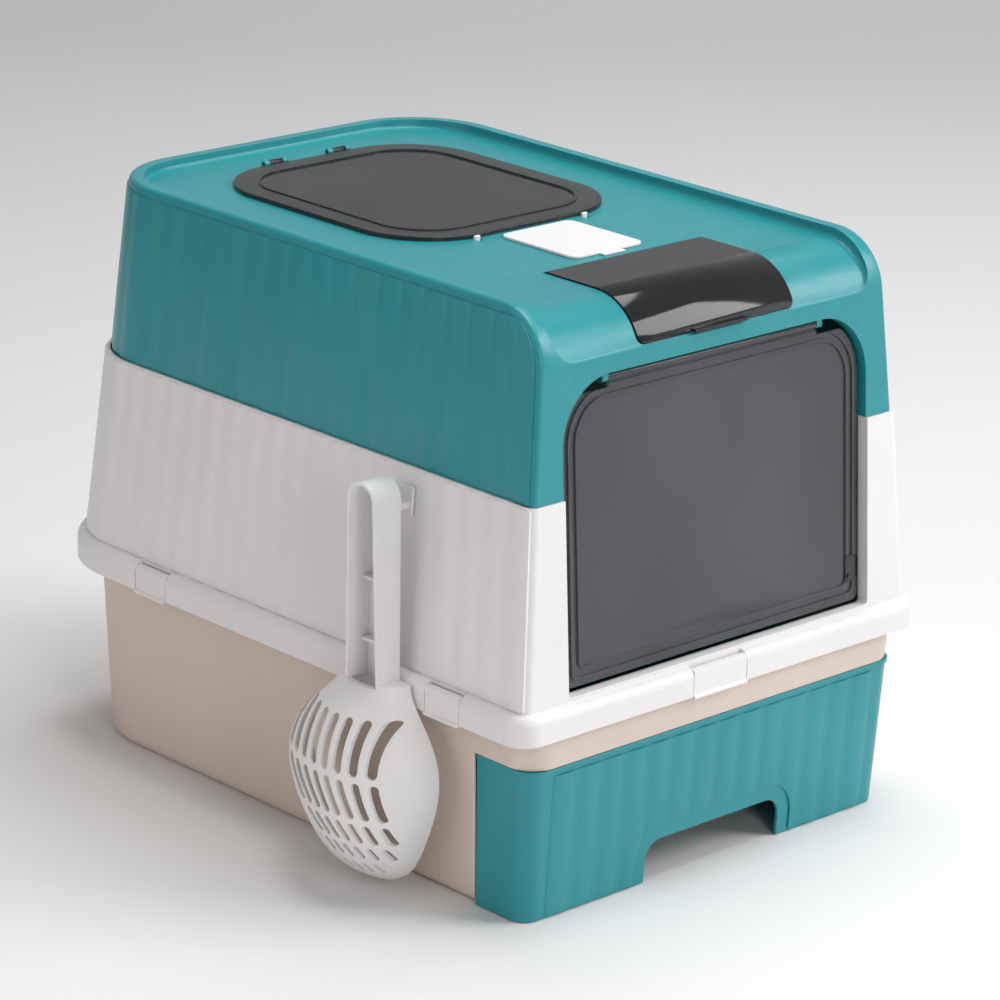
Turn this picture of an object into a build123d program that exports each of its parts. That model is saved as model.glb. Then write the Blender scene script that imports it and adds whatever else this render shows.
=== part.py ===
from build123d import *
from math import asin, cos, degrees, radians, sin, tan
import os

os.makedirs("parts", exist_ok=True)

# Drawer litter box, in millimetres. +X is to the right seen from the front, the front faces -Y,
# +Z is up, and the origin lies on the floor under the middle of the box. A size that is called
# front is a distance in front of the origin, towards -Y.

# ---------------------------------------------------------------- driving dimensions
# heights of the storeys
BASE_TOP = 150.0           # top of the base's supporting lip
RIM_LOW = 141.0            # lower edge of the rim that covers the base
RIM_HIGH = 163.0           # where the rim's shoulder meets the wall above it
SEAM = 307.0               # seam between the middle frame and the hood
ROOF_TOP = 440.0           # top of the raised edge round the roof
ROOF_RECESS = 7.0          # how far the roof's floor lies below that edge

# plan sizes
BASE_HALF_WIDTH = 184.3    # at the floor
BASE_BACK = 245.0          # at the floor
BASE_FRONT = 264.5         # at the floor, where only the rail above it remains
BASE_DRAFT = 2.4           # degrees, all round the base
RIM_HALF_WIDTH = 205.0
RIM_FRONT = 277.0
RIM_BACK = 272.0
FRAME_HALF_WIDTH = 185.0   # middle frame, at the seam
FRAME_FRONT = 258.4        # at the seam
FRAME_BACK = 252.0         # at the seam
FRAME_DRAFT = 4.2          # degrees, all round, and the lean of the front
HOOD_HALF_WIDTH = 182.1    # at the seam
HOOD_FRONT = 256.6         # at the seam
HOOD_BACK = 248.9          # at the seam
HOOD_DRAFT = 5.1           # degrees, sides
HOOD_BACK_DRAFT = 2.2      # degrees, back

# corner radii in plan, and rounded edges
BACK_CORNER = 72.0
FRONT_CORNER = 7.0
RIM_BACK_CORNER = 86.0
RIM_FRONT_CORNER = 18.0
BASE_FRONT_CORNER = 22.0
BASE_SIDE_FRONT = 212.0    # front edge of the base's side walls
BASE_CUT_RADIUS = 0.8
BASE_BOTTOM_EDGE = 10.0
RIM_SHOULDER = 8.0
HOOD_EDGE = 4.0
BEND_RADIUS = 42.0         # bend from the hood's front into its roof

# walls
FRAME_WALL = 2.4
HOOD_WALL = 2.4
BASE_WALL = 2.6
DRAWER_WALL = 2.4
LIP_CLEAR = 1.2            # from the base's lip to the rim round it
SEAT_WIDTH = 4.5           # ledge in the middle frame that the hood's skirt stands on
SKIRT_HEIGHT = 8.0
SKIRT_FRONT = 238.0        # front end of the skirt under the hood's sides

# flutes
FLUTE_PITCH = 23.5
FLUTE_DEPTH = 1.1
FLUTE_PROUD = 0.15         # how far the valleys stand off the plain wall
FLUTE_END = 1.6            # plain band above and below a row of flutes

# clearances
FIT = 0.35                 # between pieces that rest on or slide past each other
PIN_FIT = 0.06             # radial clearance of a pin in its hole

# roof rim
ROOF_RIM_WIDTH = 12.0
RECESS_BACK_RADIUS = 58.0
RECESS_LOW = ROOF_TOP - 39.6    # lower end of the recess, on the front face
RECESS_LOW_RADIUS = 18.0
RECESS_STEP = 1.0          # depth of the recess at that lower end
RECESS_BEND_RADIUS = 45.0
RECESS_SOFT = 3.0          # rounding along the foot of the rim's inner wall

# front doorway and door
DOORWAY_HALF_WIDTH = 153.5
DOORWAY_LOW = 166.0
DOORWAY_HIGH = ROOF_TOP - 51.3
DOORWAY_TOP_RADIUS = 47.0
DOORWAY_LOW_RADIUS = 3.0
DOOR_LOW_RADIUS = 6.0
JAMB_DEPTH = 12.0
DOOR_GAP = 3.6             # from the door's edge to the jamb
DOOR_SET_BACK = 8.5        # door's middle plane behind the front face
DOOR_THICK = 2.2
FRAME_JAMB_DEPTH = DOOR_SET_BACK + DOOR_THICK / 2  # flush with the door's inner face, for the lock's bolt
DOOR_RIDGE_INSET = 12.0    # from the door's edge to its inner border ridge
DOOR_RIDGE = 1.6           # width and height of a border ridge
DOOR_RIDGE_OUTER = 5.0     # from the door's edge to its outer border ridge
DOOR_BARREL_RADIUS = 3.0
DOOR_BARREL_HALF_LENGTH = 105.0
DOOR_BARREL_DROP = 4.4     # barrel's axis below the top of the doorway
DOOR_PIN_RADIUS = 1.4
DOOR_PIN_GRIP = 8.0        # how far a pin reaches into the barrel
DOOR_LUG_WIDTH = 5.5
DOOR_LUG_REACH = 7.5

# door lock
LOCK_HEIGHT = 195.0
LOCK_LENGTH = 16.0
LOCK_DEPTH = 12.0          # how far it reaches in from the door's edge
LOCK_THICK = 2.6
LOCK_FLANGE = 1.0          # plates that hold it in the door's notch
LOCK_LAP = 1.8             # how far the flanges overlap the door
LOCK_KNOB = 2.0            # radius of the grip
LOCK_REACH = 1.8           # how far the bolt stands past the door's edge when it is unlocked
LOCK_TRAVEL = 4.0
LOCK_JAMB_GAP = 2.0         # left between the locked button and the jamb
LOCK_BOLT = 1.6            # thickness of the bolt that slides behind the jamb

# roof hatch
HATCH_HALF_WIDTH = 110.0
HATCH_FRONT = 56.0
HATCH_BACK = 188.0
HATCH_RADIUS = 62.0
HATCH_FLANGE = 20.0        # band round the clear window
HATCH_THICK = 3.0
HATCH_WINDOW_THICK = 2.0
HATCH_BEAD = 1.6
HATCH_PIN_RADIUS = 1.2
HATCH_BARREL_RADIUS = 2.5
HATCH_KNUCKLE_LENGTH = 12.0
HATCH_KNUCKLE_AT = 32.0
HATCH_LUG_WIDTH = 5.0
HATCH_LUG_GAP = 0.5
HATCH_SKIRT = 4.0          # rib under the lid that drops into the opening
HATCH_SKIRT_GAP = 1.5

# latch plate in front of the hatch
PLATE_AT = -2.5            # middle of the plate
PLATE_HALF_WIDTH = 35.5
PLATE_BACK = 64.0
PLATE_FRONT = 142.0
PLATE_RADIUS = 7.0
PLATE_THICK = 1.8
PLATE_TRAVEL = 3.5
PLATE_TAB_HALF_WIDTH = 10.5
PLATE_TAB_FRONT = 147.5
CATCH_AT = 54.0            # catches on the latch, either side of the middle
CATCH_WIDTH = 5.0
CATCH_DEPTH = 2.4
CATCH_RISE = 1.8
LATCH_STEM_HALF_WIDTH = 20.0
STEM_DEPTH = 6.0
STEM_AT = 1.0              # stem behind the plate's rear edge
LATCH_BAR = 2.5            # thickness of the bar under the roof

# deodoriser compartment under the curved cover
COVER_HALF_WIDTH = 78.0
COVER_BACK = 151.5         # rear edge of the opening in the roof
COVER_LOW = ROOF_TOP - 37.0     # lower edge of the cover
COVER_GAP = 0.8
COVER_THICK = 2.4
COVER_PROUD = 1.2          # how far the cover stands above the recessed roof
COVER_CORNER = 6.0
COVER_PIN_RADIUS = 1.2
COVER_BARREL_RADIUS = 3.4
COVER_PIN_LENGTH = 12.0
COVER_TAB_HALF_WIDTH = 26.0
COVER_TAB = 3.0
WELL_WALL = 2.0
WELL_FLOOR = ROOF_TOP - 43.5    # top of the compartment's floor
BIN_CLEAR = 4.0
BIN_WALL = 1.6
BIN_HEIGHT = 20.0
BIN_FRONT = 232.0
BIN_RADIUS = 8.0
CARTRIDGE_CLEAR = 0.6
CARTRIDGE_HEIGHT = 12.0
CARTRIDGE_PITCH = 20.0
CARTRIDGE_HOLE = 4.0

# litter drawer
DRAWER_TOP = 116.6
DRAWER_FRONT = 262.0       # at the floor
DRAWER_HALF_WIDTH = 184.6  # at the floor
DRAWER_DRAFT = 1.4         # degrees, sides
DRAWER_LEAN = 2.9          # degrees, front
DRAWER_CORNER = 14.0
DRAWER_LIFT = 0.8          # lower edge of the drawer's front above the floor
RETURN_BACK = BASE_SIDE_FRONT + 1.0    # rear edge of the front's side returns
TRAY_FRONT = 224.0
TRAY_BACK = 236.0
TRAY_HALF_WIDTH = 176.0
TRAY_DRAFT = 1.6
TRAY_CORNER = 34.0
TRAY_BACK_CORNER = 60.0
TRAY_BOTTOM_EDGE = 9.0
NOTCH_HALF_WIDTH = 69.5
NOTCH_CENTRE = 4.0
NOTCH_HEIGHT = 32.0
NOTCH_RADIUS = 15.0
NOTCH_BORDER = 12.0
RUNNER_HEIGHT = 3.4
RUNNER_WIDTH = 5.0
RUNNER_AT = 120.0
DRAWER_BEAD = 1.2          # how far the bead along its top edge stands out
DRAWER_BEAD_HEIGHT = 3.2

# clips on the rim
SIDE_CLIP_LENGTH = 35.0
SIDE_CLIP_REAR = 128.0     # clips along the sides, at their middles
SIDE_CLIP_FRONT = -194.5
FRONT_CLIP_LENGTH = 54.0
FRONT_CLIP_AT = -10.0
CLIP_PIN_RADIUS = 1.0
CLIP_BARREL_RADIUS = 2.3
CLIP_PLATE = 2.2
CLIP_CHEEK = 3.0
CLIP_GAP = 0.5             # round a clip in its window
CLIP_GRIP = 1.6            # how far the clip's lower lip stands out

# scoop
SCOOP_AT = -136.5
SCOOP_BACK = RIM_HALF_WIDTH + 2.2  # back of the scoop, outside the clips' lips
SCOOP_WALL = 2.2
HOOK_TO_TOP = 22.0         # from the hook to the handle's top end
HANDLE_TOP_HALF_WIDTH = 14.0
HANDLE_LOW_HALF_WIDTH = 17.0
HANDLE_TOP_DEPTH = 25.0
HANDLE_LOW_DEPTH = 21.0
HANDLE_LOW = 158.0
WEB_DEPTH = 12.0           # cross webs in the handle lie this far below its open face
WEB_HEIGHTS = (228.0, 182.0)
HOOK_HEIGHT = SEAM - 24.0
HOOK_THICK = 4.0
HOOK_HALF_WIDTH = 4.5
HOOK_TIP = 6.0
HOOK_PLATE = 2.2
HOOK_PEG_RADIUS = 2.5
SLOT_DROP = 14.0           # height of the slot in the handle for the hook
BOWL_LOW = 8.0
BOWL_EDGE = 3.0            # straight edge round the open side of the bowl
BOWL_DEPTH = 55.0
# share of the bowl's height, its reach to the back and to the front of its middle, and its depth
BOWL_STATIONS = (
    (0.0, 24.0, 20.0, 12.0), (0.1, 44.0, 38.0, 32.0), (0.3, 64.0, 52.0, 48.0),
    (0.6, 76.0, 60.0, BOWL_DEPTH), (0.85, 51.0, 39.5, 42.0), (1.0, 33.0, 29.0, 22.0),
)
SLOT_PITCH = 12.4          # in the top row
SLOT_WIDTH = 7.4
SLOT_PITCH_STEP = 1.2      # how much less it is in each row below
SLOT_WIDTH_STEP = 1.1
# top, bottom, first slot, number of slots, its lean in degrees and how much more the next one leans
SLOT_ROWS = (
    (137.5, 99.5, -172.0, 8, 4.0, 0.0), (95.5, 67.0, -177.0, 8, 8.0, 4.0),
    (62.5, 47.0, -178.5, 7, 6.0, 6.0), (43.0, 33.0, -174.0, 6, 10.0, 5.0),
    (28.0, 20.0, -163.0, 4, 15.0, 5.0),
)
SCOOP_LIFT = 9.0

# ---------------------------------------------------------------- derived values
ROOF_FLOOR = ROOF_TOP - ROOF_RECESS
LEAN = radians(FRAME_DRAFT)
BEND_Z = ROOF_TOP - BEND_RADIUS
BEND_Y = -HOOD_FRONT + (BEND_RADIUS + sin(LEAN) * (BEND_Z - SEAM)) / cos(LEAN)
SKIRT_LOW = SEAM - SKIRT_HEIGHT


def save(sub_part, name):
    """Label a finished sub-part and write it to its own file."""
    sub_part.label = name
    export_step(sub_part, f"parts/{name}.step")
    print(f"{name}: {len(sub_part.solids())} solid, {sub_part.volume / 1000:.1f} cm3")


# ---------------------------------------------------------------- shared outlines
def rounded_plan(z, half_width, front, back, front_radius, back_radius):
    """Plan outline at height z, with its own radii at the front and the back corners."""
    with BuildSketch(Plane.XY.offset(z)) as plan:
        with BuildLine():
            FilletPolyline(
                (-half_width, -front), (half_width, -front), (half_width, back), (-half_width, back),
                radius=(front_radius, front_radius, back_radius, back_radius),
                close=True,
            )
        make_face()
    return plan.sketch


def base_plan(z, inset=0.0):
    """Plan of the base's wall at height z."""
    grow = z * tan(radians(BASE_DRAFT)) - inset
    return rounded_plan(
        z, BASE_HALF_WIDTH + grow, BASE_FRONT + grow, BASE_BACK + grow,
        BASE_FRONT_CORNER - inset, BACK_CORNER - inset,
    )


def frame_plan(z, inset=0.0):
    """Plan of the middle frame's plain wall at height z."""
    grow = (SEAM - z) * tan(LEAN) - inset
    return rounded_plan(
        z, FRAME_HALF_WIDTH + grow, FRAME_FRONT + grow, FRAME_BACK + grow,
        FRONT_CORNER - inset, BACK_CORNER - inset,
    )


def rim_plan(z, inset=0.0):
    """Plan of the rim that covers the base."""
    return rounded_plan(
        z, RIM_HALF_WIDTH - inset, RIM_FRONT - inset, RIM_BACK - inset,
        RIM_FRONT_CORNER - inset, RIM_BACK_CORNER - inset,
    )


def hood_plan(z, inset=0.0):
    """Plan of the hood's plain wall at height z, with stock at the front for the bend to be cut from."""
    grow = (SEAM - z) * tan(radians(HOOD_DRAFT)) - inset
    grow_back = (SEAM - z) * tan(radians(HOOD_BACK_DRAFT)) - inset
    return rounded_plan(
        z, HOOD_HALF_WIDTH + grow, HOOD_FRONT + HOOD_EDGE, HOOD_BACK + grow_back,
        1.0, BACK_CORNER - inset,
    )


def fluted_plan(z, half_width, front, back, back_radius):
    """Plan outline whose sides, back corners and back are rows of shallow outward scallops."""
    side_end = back - back_radius
    side_count = round((side_end + front) / FLUTE_PITCH)
    corner_count = round(back_radius * radians(90) / FLUTE_PITCH)
    back_count = round((half_width - back_radius) / FLUTE_PITCH)
    centre = Vector(back_radius - half_width, side_end)

    def on_corner(step, bulge=0.0):
        return centre + Vector(-(back_radius + bulge), 0).rotate(Axis.Z, -90 * step / corner_count)

    with BuildSketch(Plane.XY.offset(z)) as plan:
        with BuildLine():
            Line((0, -front), (-half_width, -front))
            side_pitch = (side_end + front) / side_count
            for step in range(side_count):
                y = step * side_pitch - front
                ThreePointArc(
                    (-half_width, y),
                    (-half_width - FLUTE_DEPTH, y + side_pitch / 2),
                    (-half_width, y + side_pitch),
                )
            for step in range(corner_count):
                ThreePointArc(on_corner(step), on_corner(step + 0.5, FLUTE_DEPTH), on_corner(step + 1))
            back_pitch = (half_width - back_radius) / back_count
            for step in range(back_count):
                x = step * back_pitch - half_width + back_radius
                ThreePointArc((x, back), (x + back_pitch / 2, back + FLUTE_DEPTH), (x + back_pitch, back))
            mirror(about=Plane.YZ)
        make_face()
    return plan.sketch


def fluted_block(low, high, half_width, front, back, draft, back_draft, inset=0.0):
    """Tapered block with fluted sides and back, whose plan is given at the seam."""
    plans = []
    for z in (low, high):
        grow = (SEAM - z) * tan(radians(draft)) + FLUTE_PROUD - inset
        grow_back = (SEAM - z) * tan(radians(back_draft)) + FLUTE_PROUD - inset
        lean = (SEAM - z) * tan(LEAN)
        plans.append(
            fluted_plan(z, half_width + grow, front + lean, back + grow_back, BACK_CORNER - inset)
        )
    with BuildPart() as block:
        loft(plans, ruled=True)
    return block.part


def bend_profile(inset, low):
    """Side view of the hood: leaning front, round bend and flat top, moved inwards by inset."""
    radius = BEND_RADIUS - inset
    foot_z = BEND_Z + radius * sin(LEAN)
    foot_y = BEND_Y - radius * cos(LEAN)
    back = HOOD_BACK + RIM_SHOULDER * 2
    with BuildSketch(Plane.YZ) as profile:
        with BuildLine():
            Polyline(
                (foot_y, foot_z), (foot_y - (foot_z - low) * tan(LEAN), low), (back, low),
                (back, ROOF_TOP - inset), (BEND_Y, ROOF_TOP - inset),
            )
            CenterArc((BEND_Y, BEND_Z), radius, 90, 90 - FRAME_DRAFT)
        make_face()
    return profile.sketch


def under_bend(block, inset, low):
    """What of a block lies under the hood's side view, moved inwards by inset."""
    with BuildPart() as kept:
        add(block)
        extrude(bend_profile(inset, low), amount=2 * RIM_HALF_WIDTH, both=True, mode=Mode.INTERSECT)
    return kept.part


# The doorway and the door are drawn on a plane that leans back with the front of the box. Its
# x runs along X, its y up the front, and its origin lies on the front face at the seam.
DOOR_PLANE = Plane(origin=(0, -FRAME_FRONT, SEAM), x_dir=(1, 0, 0), z_dir=(0, -cos(LEAN), sin(LEAN)))
HINGE_UP = (DOORWAY_HIGH - DOOR_BARREL_DROP - SEAM) / cos(LEAN)


def doorway_plan(grow, offset):
    """Doorway outline on the leaning plane, grown outwards, at a height off the front face."""
    low = (DOORWAY_LOW - SEAM) / cos(LEAN) - grow
    high = (DOORWAY_HIGH - SEAM) / cos(LEAN) + grow
    half = DOORWAY_HALF_WIDTH + grow
    low_radius = DOOR_LOW_RADIUS if grow < 0 else DOORWAY_LOW_RADIUS + grow
    with BuildSketch(DOOR_PLANE.offset(offset)) as plan:
        with BuildLine():
            FilletPolyline(
                (-half, low), (half, low), (half, high), (-half, high),
                radius=(
                    low_radius, low_radius, DOORWAY_TOP_RADIUS + grow, DOORWAY_TOP_RADIUS + grow,
                ),
                close=True,
            )
        make_face()
    return plan.sketch


def doorway_block(grow, front, depth):
    """Solid of the doorway's outline, from front of the face to a depth behind it."""
    with BuildPart() as block:
        extrude(doorway_plan(grow, front), amount=-(front + depth))
    return block.part


def door_point(x, up, out):
    """Point by its place on the leaning plane and its height off it."""
    return DOOR_PLANE.from_local_coords(Vector(x, up, out))


HINGE_POINT = door_point(0, HINGE_UP, -DOOR_SET_BACK)


def rounded_top(plan, height, edge_radius):
    """Block raised from a plan, with its upper edge rounded."""
    with BuildPart() as block:
        extrude(plan, amount=height)
        fillet(block.faces().sort_by(Axis.Z)[-1].edges(), radius=edge_radius)
    return block.part


def tapered_tub(low_plan, high_plan, edge_radius):
    """Tapered block between two plans, with its lower edge rounded."""
    with BuildPart() as tub:
        loft([low_plan, high_plan])
        fillet(tub.faces().sort_by(Axis.Z)[0].edges(), radius=edge_radius)
    return tub.part


# ---------------------------------------------------------------- base
with BuildPart() as base_shell:
    add(tapered_tub(base_plan(0), base_plan(BASE_TOP), BASE_BOTTOM_EDGE))
    # supporting lip, inside the rim of the middle frame
    extrude(rim_plan(BASE_TOP, FRAME_WALL + LIP_CLEAR), amount=-BASE_WALL)
    # hollow
    add(
        tapered_tub(
            base_plan(BASE_WALL, BASE_WALL), base_plan(BASE_TOP, BASE_WALL), BASE_BOTTOM_EDGE - BASE_WALL
        ),
        mode=Mode.SUBTRACT,
    )
    # open front: the side walls stop short and only the rail crosses above the drawer
    with BuildSketch(Plane.YZ):
        with BuildLine():
            FilletPolyline(
                (-BASE_SIDE_FRONT, -1), (-BASE_SIDE_FRONT, DRAWER_TOP + FIT),
                (-2 * RIM_FRONT, DRAWER_TOP + FIT), (-2 * RIM_FRONT, -1),
                radius=(0, BASE_CUT_RADIUS, 0, 0), close=True,
            )
        make_face()
    extrude(amount=RIM_HALF_WIDTH, both=True, mode=Mode.SUBTRACT)
    # runners under the drawer
    runner_length = TRAY_BACK + BASE_SIDE_FRONT - 2 * TRAY_CORNER
    with BuildSketch(Plane.XY.offset(BASE_WALL)):
        with Locations((0, -BASE_SIDE_FRONT + TRAY_CORNER + runner_length / 2)):
            with GridLocations(2 * RUNNER_AT, 1, 2, 1):
                Rectangle(RUNNER_WIDTH, runner_length)
    extrude(amount=RUNNER_HEIGHT)
save(base_shell.part, "base_shell")


# ---------------------------------------------------------------- litter drawer
def drawer_plan(z, inset=0.0, back=-RETURN_BACK):
    """Plan of the drawer's front cap at height z."""
    grow = z * tan(radians(DRAWER_DRAFT)) - inset
    front = DRAWER_FRONT + z * tan(radians(DRAWER_LEAN)) - inset
    return rounded_plan(z, DRAWER_HALF_WIDTH + grow, front, back, DRAWER_CORNER - inset, 1.0)


def tray_plan(z, inset=0.0):
    """Plan of the tray behind the front at height z."""
    grow = (z - DRAWER_TOP) * tan(radians(TRAY_DRAFT)) - inset
    return rounded_plan(
        z, TRAY_HALF_WIDTH + grow, TRAY_FRONT + grow, TRAY_BACK + grow,
        TRAY_CORNER - inset, TRAY_BACK_CORNER - inset,
    )


TRAY_LOW = BASE_WALL + RUNNER_HEIGHT + FIT

with BuildPart() as drawer_notch:
    # grip cut-out in the lower edge of the drawer's front
    with BuildSketch(Plane.XZ.offset(RETURN_BACK)):
        with BuildLine():
            FilletPolyline(
                (NOTCH_CENTRE - NOTCH_HALF_WIDTH, -1), (NOTCH_CENTRE - NOTCH_HALF_WIDTH, NOTCH_HEIGHT),
                (NOTCH_CENTRE + NOTCH_HALF_WIDTH, NOTCH_HEIGHT), (NOTCH_CENTRE + NOTCH_HALF_WIDTH, -1),
                radius=(0, NOTCH_RADIUS, NOTCH_RADIUS, 0), close=True,
            )
        make_face()
    extrude(amount=2 * JAMB_DEPTH + DRAWER_FRONT - RETURN_BACK)

with BuildPart() as drawer_flutes:
    # rows of scallops on the drawer's front, clear of the plain border round the grip cut-out
    flute_count = 2 * int((DRAWER_HALF_WIDTH - DRAWER_CORNER) / FLUTE_PITCH)
    flute_start = -flute_count * FLUTE_PITCH / 2
    flute_low = DRAWER_LIFT + FLUTE_END
    flute_high = DRAWER_TOP - 4 * FLUTE_END
    flute_plans = []
    for flute_z in (flute_low, flute_high):
        flute_front = DRAWER_FRONT + flute_z * tan(radians(DRAWER_LEAN)) + FLUTE_PROUD
        with BuildSketch(Plane.XY.offset(flute_z)) as flute_plan:
            with BuildLine():
                for flute_step in range(flute_count):
                    flute_x = flute_start + flute_step * FLUTE_PITCH
                    ThreePointArc(
                        (flute_x, -flute_front),
                        (flute_x + FLUTE_PITCH / 2, -flute_front - FLUTE_DEPTH),
                        (flute_x + FLUTE_PITCH, -flute_front),
                    )
                Polyline(
                    (flute_start, -flute_front), (flute_start, DRAWER_WALL / 2 - flute_front),
                    (-flute_start, DRAWER_WALL / 2 - flute_front), (-flute_start, -flute_front),
                )
            make_face()
        flute_plans.append(flute_plan.sketch)
    loft(flute_plans, ruled=True)
    with BuildSketch(Plane.XZ.offset(RETURN_BACK)):
        with BuildLine():
            border = NOTCH_HALF_WIDTH + NOTCH_BORDER
            FilletPolyline(
                (NOTCH_CENTRE - border, -1), (NOTCH_CENTRE - border, NOTCH_HEIGHT + NOTCH_BORDER),
                (NOTCH_CENTRE + border, NOTCH_HEIGHT + NOTCH_BORDER), (NOTCH_CENTRE + border, -1),
                radius=(0, NOTCH_RADIUS + NOTCH_BORDER, NOTCH_RADIUS + NOTCH_BORDER, 0), close=True,
            )
        make_face()
    extrude(amount=2 * JAMB_DEPTH + DRAWER_FRONT - RETURN_BACK, mode=Mode.SUBTRACT)

with BuildPart() as litter_drawer:
    # front cap: leaning front and two side returns, open at the back and below
    loft([drawer_plan(DRAWER_LIFT), drawer_plan(DRAWER_TOP)])
    add(drawer_flutes.part)
    # bead along the top edge
    bead_back = -BASE_SIDE_FRONT - BASE_CUT_RADIUS - 1
    extrude(drawer_plan(DRAWER_TOP, -DRAWER_BEAD, bead_back), amount=-DRAWER_BEAD_HEIGHT)
    loft(
        [
            drawer_plan(DRAWER_LIFT - 1, DRAWER_WALL, 1 - RETURN_BACK),
            drawer_plan(DRAWER_TOP - DRAWER_WALL, DRAWER_WALL, 1 - RETURN_BACK),
        ],
        mode=Mode.SUBTRACT,
    )
    # tray, joined to the cap by the cap's top
    add(tapered_tub(tray_plan(TRAY_LOW), tray_plan(DRAWER_TOP), TRAY_BOTTOM_EDGE))
    add(
        tapered_tub(
            tray_plan(TRAY_LOW + DRAWER_WALL, DRAWER_WALL), tray_plan(DRAWER_TOP, DRAWER_WALL),
            TRAY_BOTTOM_EDGE - DRAWER_WALL,
        ),
        mode=Mode.SUBTRACT,
    )
    add(drawer_notch.part, mode=Mode.SUBTRACT)
save(litter_drawer.part, "litter_drawer")


# ---------------------------------------------------------------- clips on the rim
# A clip is drawn at the front of the box, its pivot at the origin of its own frame, x along the
# rim, -y outwards and z up. Each site says where that frame goes and how it is turned.
CLIP_PIVOT_UP = RIM_HIGH - CLIP_BARREL_RADIUS - 2.0
CLIP_PIVOT_IN = 5.0        # pivot inside the rim's outer face
CLIP_HOOK_TOP = BASE_TOP - BASE_WALL - FIT
CLIP_HOOK_THICK = 2.4
CLIP_SITES = {
    "clip_left_rear": (Location((-RIM_HALF_WIDTH + CLIP_PIVOT_IN, SIDE_CLIP_REAR, CLIP_PIVOT_UP), (0, 0, -90)),
                       SIDE_CLIP_LENGTH),
    "clip_left_front": (Location((-RIM_HALF_WIDTH + CLIP_PIVOT_IN, SIDE_CLIP_FRONT, CLIP_PIVOT_UP), (0, 0, -90)),
                        SIDE_CLIP_LENGTH),
    "clip_right_rear": (Location((RIM_HALF_WIDTH - CLIP_PIVOT_IN, SIDE_CLIP_REAR, CLIP_PIVOT_UP), (0, 0, 90)),
                        SIDE_CLIP_LENGTH),
    "clip_right_front": (Location((RIM_HALF_WIDTH - CLIP_PIVOT_IN, SIDE_CLIP_FRONT, CLIP_PIVOT_UP), (0, 0, 90)),
                         SIDE_CLIP_LENGTH),
    "clip_front": (Location((FRONT_CLIP_AT, -RIM_FRONT + CLIP_PIVOT_IN, CLIP_PIVOT_UP), (0, 0, 0)),
                   FRONT_CLIP_LENGTH),
    "clip_back": (Location((0, RIM_BACK - CLIP_PIVOT_IN, CLIP_PIVOT_UP), (0, 0, 180)), SIDE_CLIP_LENGTH),
}


def clip_solid(length):
    """Barrel, face plate, hook under the base's lip and a lower lip for the finger."""
    low = RIM_LOW - CLIP_PIVOT_UP - 1.5
    hook_top = CLIP_HOOK_TOP - CLIP_PIVOT_UP
    face = -CLIP_PIVOT_IN
    hook_reach = -CLIP_PIVOT_IN + FRAME_WALL + LIP_CLEAR + 2.2
    with BuildPart() as clip:
        with BuildSketch(Plane.YZ) as section:
            with BuildLine():
                Polyline(
                    (0, CLIP_BARREL_RADIUS), (face + CLIP_PLATE, CLIP_BARREL_RADIUS), (face, CLIP_PLATE / 2),
                    (face, low + 3.0), (face - CLIP_GRIP, low + 1.6), (face - CLIP_GRIP, low),
                    (face + CLIP_PLATE, low), (face + CLIP_PLATE, hook_top - CLIP_HOOK_THICK),
                    (hook_reach, hook_top - CLIP_HOOK_THICK), (hook_reach, hook_top),
                    (face + CLIP_PLATE, hook_top), (face + CLIP_PLATE, -CLIP_PLATE / 2), (0, -CLIP_PLATE / 2),
                    close=True,
                )
            make_face()
            Circle(CLIP_BARREL_RADIUS)
            Circle(CLIP_PIN_RADIUS + PIN_FIT, mode=Mode.SUBTRACT)
        extrude(amount=length / 2, both=True)
    return clip.part


def clip_pocket(length):
    """Window in the rim round a clip, open above so that the clip can swing outwards."""
    with BuildPart() as pocket:
        with BuildSketch(Plane.YZ):
            with BuildLine():
                Polyline(
                    (-3 * CLIP_PIVOT_IN, RIM_LOW - CLIP_PIVOT_UP - 1.0),
                    (-3 * CLIP_PIVOT_IN, 3 * CLIP_BARREL_RADIUS),
                    (CLIP_BARREL_RADIUS + CLIP_GAP, 3 * CLIP_BARREL_RADIUS),
                    (CLIP_BARREL_RADIUS + CLIP_GAP, RIM_LOW - CLIP_PIVOT_UP - 1.0),
                    close=True,
                )
            make_face()
        extrude(amount=length / 2 + CLIP_GAP, both=True)
    return pocket.part


def clip_cheeks(length):
    """Two cheeks inside the rim that carry the ends of a clip's pin."""
    cheek_width = 2 * CLIP_PIVOT_IN - 0.4
    with BuildPart() as cheek:
        with BuildSketch(Plane.YZ):
            with Locations((cheek_width / 2 - CLIP_PIVOT_IN + FRAME_WALL / 4, 0)):
                Rectangle(cheek_width, 4 * CLIP_BARREL_RADIUS)
            Circle(CLIP_PIN_RADIUS + PIN_FIT, mode=Mode.SUBTRACT)
        extrude(amount=CLIP_CHEEK / 2, both=True)
    reach = length / 2 + CLIP_GAP + CLIP_CHEEK / 2
    return [cheek.part.moved(Location((side * reach, 0, 0))) for side in (-1, 1)]


for clip_name, (clip_site, clip_length) in CLIP_SITES.items():
    with BuildPart() as rim_clip:
        add(clip_solid(clip_length).moved(clip_site))
    save(rim_clip.part, clip_name)


def pin_along_x(radius, length, x=0.0):
    """Round pin along X, its middle at x on its own axis."""
    with BuildPart() as pin:
        with BuildSketch(Plane.YZ.offset(x)):
            Circle(radius)
        extrude(amount=length / 2, both=True)
    return pin.part


with BuildPart() as clip_pins:
    for clip_site, clip_length in CLIP_SITES.values():
        add(pin_along_x(CLIP_PIN_RADIUS, clip_length + 1.6 * CLIP_CHEEK).moved(clip_site))
save(clip_pins.part, "clip_pins")

# ---------------------------------------------------------------- middle frame
SEAT_TOP = SKIRT_LOW - FIT

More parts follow.
